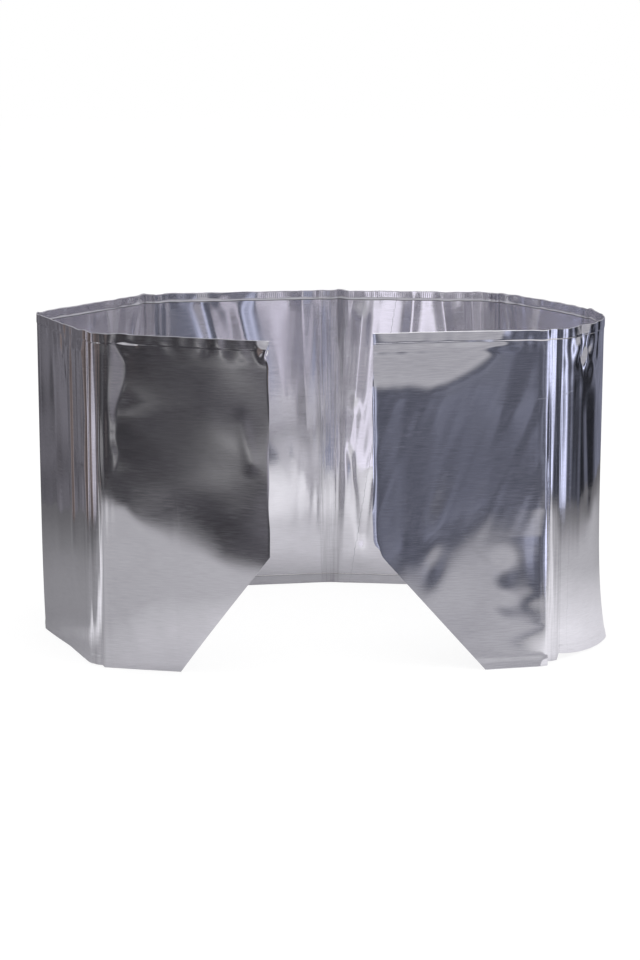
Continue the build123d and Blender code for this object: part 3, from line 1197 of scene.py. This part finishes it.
# The tones at the table's edge: painted shade at the sides, painted light at the middle of the front
TABLE_PAINTED_SHADE_EDGE = (0.08, 0.078, 0.085, 1)
TABLE_PAINTED_LIGHT_FRONT_EDGE = (0.62, 0.61, 0.65, 1)
TABLE_FADE_FRONT = 0.06
TABLE_FADE_SIDES = 0.20
TABLE_FRONT = -0.30
TABLE_OUTLINE = [
    (-0.45, -0.475),
    (-0.34, -0.412),
    (-0.28, -0.392),
    (-0.235, -0.368),
    (-0.20, -0.347),
    (-0.16, -0.345),
    (-0.12, -0.33),
    (-0.05, -0.31),
    (0.08, -0.35),
    (0.14, -0.42),
    (0.22, -0.485),
    (0.40, -0.50),
    (0.41, -0.20),
    (0.38, 0.12),
    (0.20, 0.33),
    (-0.20, 0.30),
    (-0.31, 0.06),
    (-0.41, -0.17),
    (-0.50, -0.40),
]
table = make_table()
table.visible_camera = False

# What stands round the table in the studio, by the direction from the table: 0 is the front, 90 the right.
# Each tone is grey and linear, dark where the foil mirrors the room and bright at the light strips.
STUDIO_LEFT = [
    (-180, 0.14),
    (-160, 0.14),
    (-152, 0.09),
    (-147, 0.10),
    (-143, 0.125),
    (-138, 0.125),
    (-133, 0.14),
    (-127, 0.16),
    (-122, 0.14),
    (-117, 0.06),
    (-112, 0.05),
    (-107, 0.13),
    (-102, 0.18),
    (-97, 0.50),
    (-93, 0.50),
    (-89, 0.12),
    (-84, 0.14),
    (-70, 0.125),
    (-60, 0.125),
    (-56, 0.032),
    (-52, 0.036),
    (-46, 0.048),
    (-42, 0.062),
    (-37, 0.14),
    (-31, 0.32),
    (-26, 0.30),
    (-20, 0.48),
    (-17, 0.85),
    (-11, 0.85),
    (-8, 0.40),
    (0, 0.30),
]
STUDIO_RIGHT = [
    (0, 0.30),
    (8, 0.30),
    (11, 0.60),
    (13, 0.40),
    (15, 0.13),
    (17.5, 0.088),
    (20, 0.072),
    (22, 0.105),
    (25, 0.150),
    (30, 0.09),
    (36, 0.22),
    (42, 0.90),
    (50, 0.90),
    (54, 0.18),
    (60, 0.045),
    (67, 0.07),
    (78, 0.10),
    (84, 0.36),
    (89, 0.85),
    (95, 0.80),
    (101, 0.24),
    (105, 0.14),
    (108, 0.08),
    (112, 0.045),
    (116, 0.055),
    (120, 0.010),
    (126, 0.015),
    (131, 0.12),
    (137, 0.15),
    (180, 0.17),
]
STUDIO_TINT_LEFT = (1.04, 1.0, 1.15)
STUDIO_TINT_RIGHT = (0.955, 1.0, 1.33)
STUDIO_WARM = (1.22, 1.0, 0.98)
STUDIO_WARM_AT = [(-128, -100), (-71, -59)]
STUDIO_WALL = (0.43, 0.425, 0.46)
STUDIO_HIGH = (0.375, 0.37, 0.405)
STUDIO_HIGHEST = (0.50, 0.495, 0.53)

# Soft light patches in the studio: direction and height, how far each reaches, and its tone
STUDIO_PATCHES = [
    (-42.0, -0.168, 4.6, 0.018, 0.24),
    (-51.0, -0.105, 2.6, 0.016, 0.11),
    (28.0, -0.105, 3.0, 0.020, 0.06),
]


def half_ring(tree, heading, stops, tint):
    """One half of the studio's ring: its colour at a heading in degrees."""
    first, last = stops[0][0], stops[-1][0]
    share = node(tree, "ShaderNodeMapRange", {"Value": heading, "From Min": first, "From Max": last})
    ring = node(tree, "ShaderNodeValToRGB", {"Fac": share.outputs[0]})
    ramp = ring.color_ramp
    ramp.interpolation = "EASE"
    ramp.elements.remove(ramp.elements[-1])
    ramp.elements[0].position = 0.0
    for degrees, tone in stops:
        at = (degrees - first) / (last - first)
        stop = ramp.elements[0] if degrees == first else ramp.elements.new(at)
        warm = any(low <= degrees <= high for low, high in STUDIO_WARM_AT)
        stop.color = (*(tone * share for share in (STUDIO_WARM if warm else tint)), 1)
    return ring.outputs[0]


def studio_patches(tree, heading, height):
    """The tone that the soft light patches add at a heading and a height."""
    total = 0.0
    for at, level, reach, rise, tone in STUDIO_PATCHES:
        squares = []
        for value, middle, size in ((heading, at, reach), (height, level, rise)):
            away = node(tree, "ShaderNodeMath", {0: value, 1: middle}, operation="SUBTRACT").outputs[0]
            share = scaled(tree, away, 1 / size)
            squares.append(node(tree, "ShaderNodeMath", {0: share, 1: share}, operation="MULTIPLY").outputs[0])
        fall = scaled(tree, added(tree, *squares), -1.0)
        soft = node(tree, "ShaderNodeMath", {0: fall}, operation="EXPONENT").outputs[0]
        total = added(tree, scaled(tree, soft, tone), total)
    return total


def studio_world():
    """White to the camera. To the foil, a ring of dark and light stands under a bright ceiling."""
    world = bpy.data.worlds.new("Studio")
    bpy.context.scene.world = world
    world.use_nodes = True
    tree = world.node_tree
    tree.nodes.clear()
    look = node(tree, "ShaderNodeTexCoord")
    parts = node(tree, "ShaderNodeSeparateXYZ", {0: look.outputs["Generated"]})
    front = node(tree, "ShaderNodeMath", {0: parts.outputs["Y"], 1: -1.0}, operation="MULTIPLY")
    turned = node(tree, "ShaderNodeMath", {0: parts.outputs["X"], 1: front.outputs[0]}, operation="ARCTAN2")
    heading = node(tree, "ShaderNodeMath", {0: turned.outputs[0]}, operation="DEGREES").outputs[0]
    to_right = node(tree, "ShaderNodeMath", {0: heading, 1: 0.0}, operation="GREATER_THAN").outputs[0]
    left = half_ring(tree, heading, STUDIO_LEFT, STUDIO_TINT_LEFT)
    right = half_ring(tree, heading, STUDIO_RIGHT, STUDIO_TINT_RIGHT)
    ring = node(tree, "ShaderNodeMix", {"Factor": to_right, 6: left, 7: right}, data_type="RGBA").outputs[2]
    patches = studio_patches(tree, heading, parts.outputs["Z"])
    tinted = node(
        tree, "ShaderNodeMix", {"Factor": 1.0, 6: ring, 7: patches}, data_type="RGBA", blend_type="ADD"
    ).outputs[2]
    stretched = node(
        tree, "ShaderNodeVectorMath", {0: look.outputs["Generated"], 1: (1.0, 1.0, 3.0)}, operation="MULTIPLY"
    )
    clouds = node(tree, "ShaderNodeTexNoise", {"Vector": stretched.outputs[0], "Scale": 14.0, "Detail": 3.0})
    uneven = node(
        tree, "ShaderNodeMapRange",
        {"Value": clouds.outputs[0], "From Min": 0.3, "From Max": 0.7, "To Min": 0.45, "To Max": 1.6},
    )
    off_front = node(tree, "ShaderNodeMath", {0: heading}, operation="ABSOLUTE").outputs[0]
    away = node(tree, "ShaderNodeMapRange", {"Value": off_front, "From Min": 12.0, "From Max": 22.0}).outputs[0]
    low = node(
        tree, "ShaderNodeMix", {"Factor": away, 6: tinted, 7: uneven.outputs[0]}, data_type="RGBA",
        blend_type="MULTIPLY",
    )
    rise = node(
        tree, "ShaderNodeMapRange", {"Value": parts.outputs["Z"], "From Min": -0.062, "From Max": 0.012},
        interpolation_type="SMOOTHSTEP",
    )
    wall = node(tree, "ShaderNodeMapRange", {"Value": parts.outputs["Z"], "From Min": 0.02, "From Max": 0.08})
    high = node(
        tree, "ShaderNodeMix", {"Factor": wall.outputs[0], 6: (*STUDIO_WALL, 1), 7: (*STUDIO_HIGH, 1)},
        data_type="RGBA",
    )
    higher = node(tree, "ShaderNodeMapRange", {"Value": parts.outputs["Z"], "From Min": 0.08, "From Max": 0.30})
    high = node(
        tree, "ShaderNodeMix", {"Factor": higher.outputs[0], 6: high.outputs[2], 7: (*STUDIO_HIGHEST, 1)},
        data_type="RGBA",
    )
    seen = node(
        tree, "ShaderNodeMix", {"Factor": rise.outputs[0], 6: low.outputs[2], 7: high.outputs[2]}, data_type="RGBA"
    )
    path = node(tree, "ShaderNodeLightPath")
    lit = node(
        tree, "ShaderNodeMix", {"Factor": path.outputs["Is Glossy Ray"], 6: (0.95, 0.95, 0.95, 1), 7: seen.outputs[2]},
        data_type="RGBA",
    )
    shown = node(
        tree, "ShaderNodeMix", {"Factor": path.outputs["Is Camera Ray"], 6: lit.outputs[2], 7: (1, 1, 1, 1)},
        data_type="RGBA",
    )
    background = node(tree, "ShaderNodeBackground", {"Color": shown.outputs[2], "Strength": 1.0})
    out = node(tree, "ShaderNodeOutputWorld")
    tree.links.new(background.outputs[0], out.inputs["Surface"])


studio_world()


def soft_lamp(name, place, aim, size, power):
    light = bpy.data.lights.new(name, "AREA")
    light.shape = "RECTANGLE"
    light.size, light.size_y = size
    light.energy = power
    made = bpy.data.objects.new(name, light)
    made.location = place
    made.rotation_euler = (Vector(aim) - Vector(place)).to_track_quat("-Z", "Y").to_euler()
    bpy.context.scene.collection.objects.link(made)


soft_lamp("Overhead softbox", (0.1, -0.35, 1.5), (0, -0.1, 0.05), (1.3, 1.0), 9)

# The camera, at the photograph's viewing angle
CAMERA_PLACE = (-0.0342, -1.3674, 0.3077)
CAMERA_YAW = 1.2
CAMERA_PITCH = 10.4
CAMERA_LENS = 96.3

camera_data = bpy.data.cameras.new("Camera")
camera_data.lens = CAMERA_LENS
camera_data.clip_end = 50
camera = bpy.data.objects.new("Camera", camera_data)
camera.location = CAMERA_PLACE
camera.rotation_euler = (radians(90 - CAMERA_PITCH), 0, radians(-CAMERA_YAW))
bpy.context.scene.collection.objects.link(camera)
bpy.context.scene.camera = camera

scene = bpy.context.scene
scene.view_settings.view_transform = "Standard"
scene.cycles.max_bounces = 20
scene.cycles.glossy_bounces = 16
